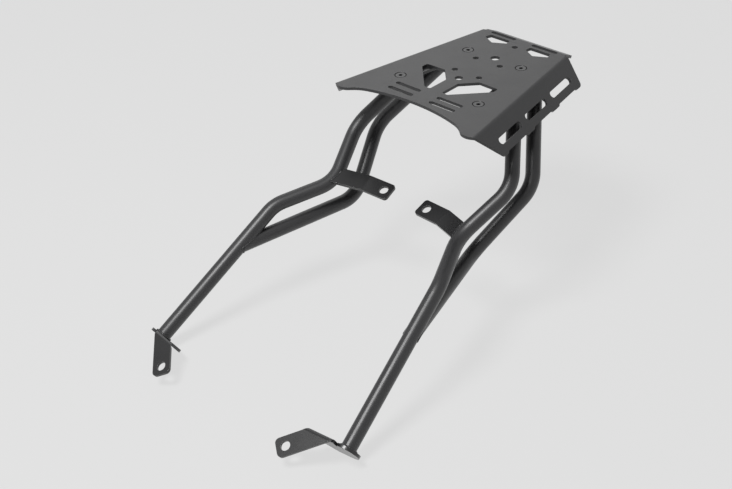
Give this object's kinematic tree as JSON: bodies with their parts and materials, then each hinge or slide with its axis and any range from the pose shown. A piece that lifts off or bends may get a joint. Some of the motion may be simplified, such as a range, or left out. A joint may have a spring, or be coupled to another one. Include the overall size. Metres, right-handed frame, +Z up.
{
  "type": "motorcycle luggage rack",
  "caption": "Slotted, folded sheet plate for luggage on bent round tubes, with bolt-on brackets at its front and under its middle.",
  "frame": {"origin": "centre of the four luggage holes, on the plate's top face", "axes": "+X across the motorcycle, +Y to the narrow rear end of the plate, +Z up, square to the plate's top face"},
  "size_m": [0.379, 0.6386, 0.2935],
  "materials": {
    "plate": "fine textured dark grey powder coat",
    "tubes": "fine textured dark grey powder coat",
    "brackets": "fine textured dark grey powder coat",
    "weld_beads": "dark grey powder coat over a weld bead",
    "screws": "smooth dark grey coating on a countersunk screw",
    "nuts": "dark grey powder coat over a weld nut"
  },
  "bodies": {
    "root": {"rack_plate": "plate", "mount_strip_right": "brackets", "outer_tube_right": "tubes", "inner_tube_right": "tubes", "joint_weld_right": "weld_beads", "mid_bracket_right": "brackets", "foot_bracket_right": "brackets", "foot_weld_right": "weld_beads", "plate_screw_front_right": "screws", "weld_nut_front_right": "nuts", "plate_screw_rear_right": "screws", "weld_nut_rear_right": "nuts", "mount_strip_left": "brackets", "outer_tube_left": "tubes", "inner_tube_left": "tubes", "joint_weld_left": "weld_beads", "mid_bracket_left": "brackets", "foot_bracket_left": "brackets", "foot_weld_left": "weld_beads", "plate_screw_front_left": "screws", "weld_nut_front_left": "nuts", "plate_screw_rear_left": "screws", "weld_nut_rear_left": "nuts"}
  },
  "joints": []
}
